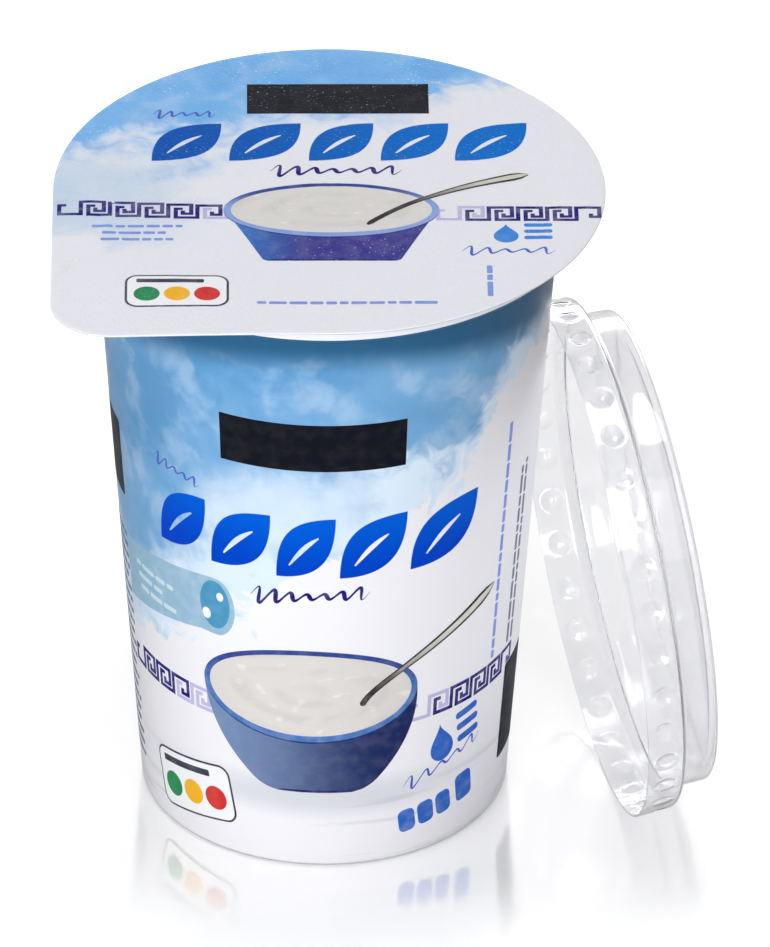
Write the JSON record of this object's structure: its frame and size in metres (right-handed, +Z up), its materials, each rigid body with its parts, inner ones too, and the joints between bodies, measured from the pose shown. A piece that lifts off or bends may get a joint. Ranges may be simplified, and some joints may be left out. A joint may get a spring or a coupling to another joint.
{
  "type": "yogurt pot",
  "caption": "Family-size tapered yogurt tub, shut with a printed foil lid that ends in a square pull tab, with its clear dished overcap off and leaning on the wall.",
  "frame": {"origin": "centre of the tub's flat base, on the surface that it stands on", "axes": "+Z up along the tub's axis, -Y towards the front of the print, +X towards the overcap"},
  "size_m": [0.1188, 0.0996, 0.1227],
  "materials": {
    "tub": "white moulded plastic, printed all round in sky blue and white, semi-gloss",
    "foil": "lacquered foil, printed in sky blue and white, finely embossed",
    "clear_cap": "thin clear thermoformed plastic, glossy"
  },
  "bodies": {
    "root": {"pot": "tub", "foil_lid": "foil", "overcap": "clear_cap"}
  },
  "joints": []
}
